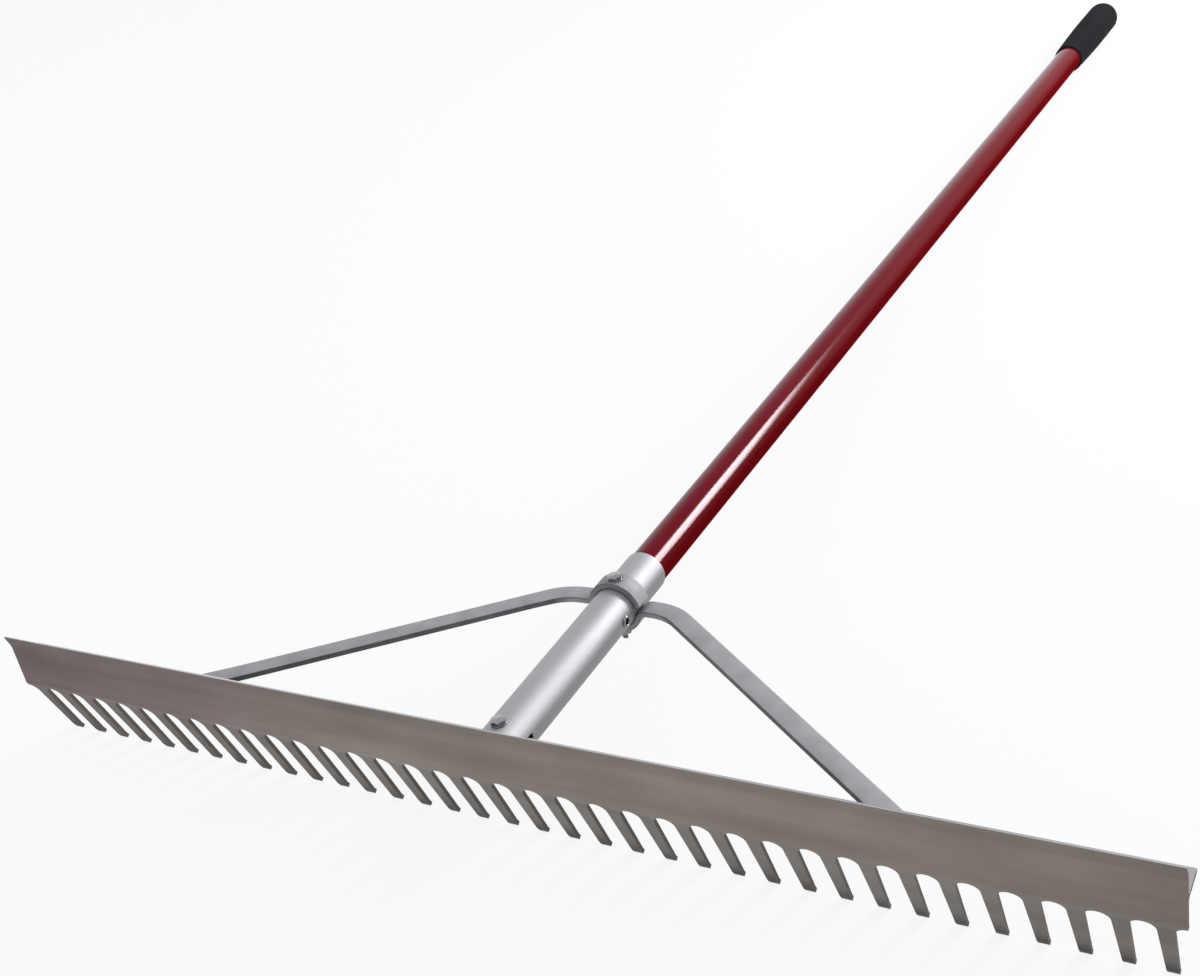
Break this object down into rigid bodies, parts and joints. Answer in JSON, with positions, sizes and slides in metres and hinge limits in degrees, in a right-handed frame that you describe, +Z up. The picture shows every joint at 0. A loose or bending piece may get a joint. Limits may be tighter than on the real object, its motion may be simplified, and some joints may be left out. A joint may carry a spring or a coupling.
{
  "type": "landscape rake",
  "caption": "Wide landscape rake with a toothed aluminium head, a rear stiffening flange, two flat-bar braces, a tubular ferrule, a long round handle and a domed grip.",
  "frame": {"origin": "on the floor under the middle of the rake's box, with the rake lying on its tooth tips and on the dome of its grip", "axes": "+X along the head, +Y along the handle towards the grip, +Z up"},
  "size_m": [0.9144, 1.7536, 0.1098],
  "materials": {
    "head_aluminium": "mill finish with fine lines along the head",
    "ferrule_aluminium": "satin drawn tube",
    "brace_steel": "dull galvanised flat bar",
    "zinc": "bright zinc plate",
    "handle_red": "glossy dark red",
    "grip_rubber": "matte charcoal",
    "plug_wood": "plain turned"
  },
  "bodies": {
    "root": {"rake_head": "head_aluminium", "ferrule_tube": "ferrule_aluminium", "foot_bolt": "zinc", "foot_bolt_washer": "zinc", "foot_nut_washer": "zinc", "foot_nut": "zinc", "handle_tube": "handle_red", "handle_plug": "plug_wood", "handle_rivet": "zinc", "end_grip": "grip_rubber", "left_brace": "brace_steel", "right_brace": "brace_steel", "clamp_bolt": "zinc", "clamp_bolt_washer": "zinc", "clamp_nut_washer": "zinc", "clamp_nut": "zinc", "left_brace_bolt": "zinc", "left_brace_bolt_washer": "zinc", "left_brace_nut_washer": "zinc", "left_brace_nut": "zinc", "right_brace_bolt": "zinc", "right_brace_bolt_washer": "zinc", "right_brace_nut_washer": "zinc", "right_brace_nut": "zinc"}
  },
  "joints": []
}
